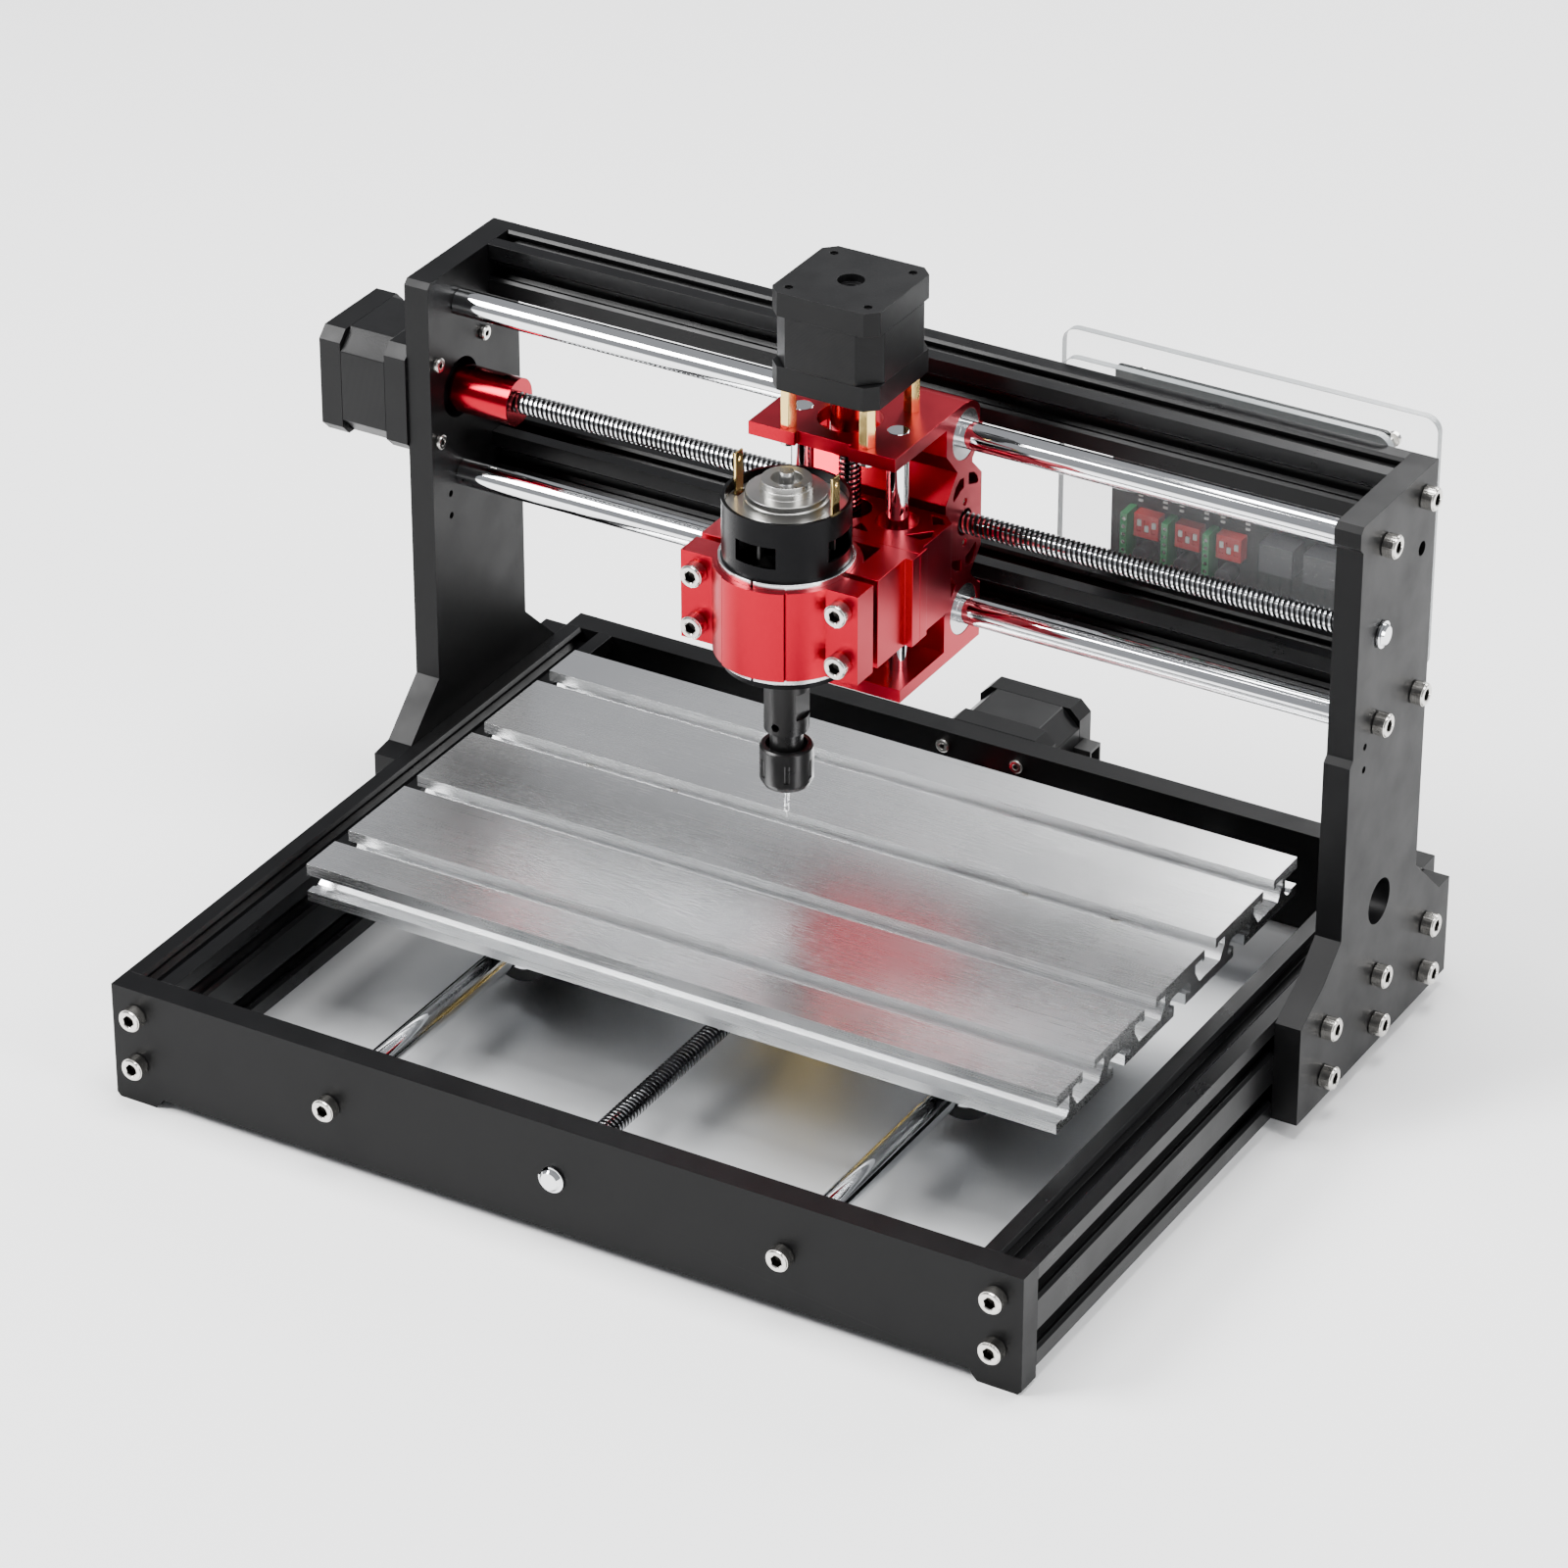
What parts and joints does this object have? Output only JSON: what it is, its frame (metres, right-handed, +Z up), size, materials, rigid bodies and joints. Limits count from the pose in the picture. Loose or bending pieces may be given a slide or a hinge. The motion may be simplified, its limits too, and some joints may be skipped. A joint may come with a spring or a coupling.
{
  "type": "desktop cnc router",
  "caption": "Desktop gantry CNC router with a moving T-slot table, lead screw drives on three axes and a clamped spindle with a collet.",
  "frame": {"origin": "centre of the rectangle of the four foot holes, on the floor", "axes": "+X along the gantry to the operator's right, +Y from the operator to the back, +Z up"},
  "size_m": [0.422, 0.352, 0.2765],
  "materials": {
    "black_satin": "satin",
    "black_extrusion": "satin, black anodised",
    "red_anodised": "satin, red anodised",
    "bare_aluminium": "brushed",
    "bright_steel": "polished",
    "chromed_steel": "polished",
    "brass": "polished",
    "black_plastic": "matt",
    "clear_plastic": "clear, polished",
    "board_laminate": "gloss",
    "red_plastic": "gloss",
    "green_plastic": "gloss"
  },
  "bodies": {
    "frame": {"front_plate": "black_satin", "rear_plate": "black_satin", "side_rails": "black_extrusion", "base_sheet": "bare_aluminium", "left_gantry_plate": "black_satin", "right_gantry_plate": "black_satin", "gantry_beams": "black_extrusion", "guide_rods": "chromed_steel", "base_bolts": "bright_steel", "gantry_bolts": "bright_steel", "slot_nuts": "bright_steel", "motor_screws": "bright_steel", "screw_bearings": "bright_steel", "frame_motor_caps": "black_satin", "frame_motor_stators": "black_satin", "motor_sockets": "black_plastic", "board_mount_sheet": "clear_plastic", "board_cover_sheet": "clear_plastic", "circuit_board": "board_laminate", "dip_switches": "red_plastic", "terminal_strips": "green_plastic", "board_components": "black_plastic", "board_standoffs": "bright_steel"},
    "x_screw": {"x_lead_screw": "chromed_steel", "x_coupler": "red_anodised"},
    "y_screw": {"y_lead_screw": "chromed_steel", "y_coupler": "red_anodised"},
    "table": {"table_plate": "bare_aluminium", "table_blocks": "black_satin", "table_bearings": "bright_steel", "table_nut": "brass", "table_screws": "bright_steel"},
    "x_carriage": {"carriage_body": "red_anodised", "carriage_bearings": "bright_steel", "x_nut": "brass", "carriage_screws": "bright_steel", "z_rods": "chromed_steel", "z_motor_caps": "black_satin", "z_motor_stator": "black_satin", "z_standoffs": "brass"},
    "z_screw": {"z_lead_screw": "chromed_steel", "z_coupler": "red_anodised"},
    "z_slide": {"z_block": "red_anodised", "z_bearings": "bright_steel", "z_nut": "brass", "spindle_holder": "red_anodised", "spindle_clamp": "red_anodised", "clamp_bolts": "bright_steel", "flux_ring": "bright_steel", "spindle_can": "black_satin", "spindle_end_cap": "bright_steel", "spindle_terminals": "brass"},
    "spindle_rotor": {"spindle_rotor_core": "bright_steel", "spindle_shaft": "bright_steel", "collet_holder": "black_satin", "collet_nut": "black_satin", "collet": "bright_steel", "cutter": "bright_steel"}
  },
  "joints": [
    {"name": "x_slide", "type": "slide", "parent": "frame", "child": "x_carriage", "axis": [1, 0, 0], "range_m": [-0.12, 0.139]},
    {"name": "z_slide", "type": "slide", "parent": "x_carriage", "child": "z_slide", "axis": [0, 0, 1], "range_m": [-0.022, 0.024]},
    {"name": "y_slide", "type": "slide", "parent": "frame", "child": "table", "axis": [0, 1, 0], "range_m": [-0.094, 0.08]},
    {"name": "spindle_spin", "type": "hinge", "parent": "z_slide", "child": "spindle_rotor", "pos_m": [0, 0.002, 0.18], "axis": [0, 0, 1], "continuous": true},
    {"name": "x_screw_spin", "type": "hinge", "parent": "frame", "child": "x_screw", "pos_m": [0, 0.076, 0.177], "axis": [1, 0, 0], "continuous": true},
    {"name": "y_screw_spin", "type": "hinge", "parent": "frame", "child": "y_screw", "pos_m": [0, 0, 0.025], "axis": [0, 1, 0], "continuous": true},
    {"name": "z_screw_spin", "type": "hinge", "parent": "x_carriage", "child": "z_screw", "pos_m": [0, 0.0455, 0.17], "axis": [0, 0, 1], "continuous": true}
  ],
  "couplings": [
    {"joint": "x_screw_spin", "follows": "x_slide", "rad_per_m": -1570.8},
    {"joint": "y_screw_spin", "follows": "y_slide", "rad_per_m": -1570.8},
    {"joint": "z_screw_spin", "follows": "z_slide", "rad_per_m": -1570.8}
  ]
}
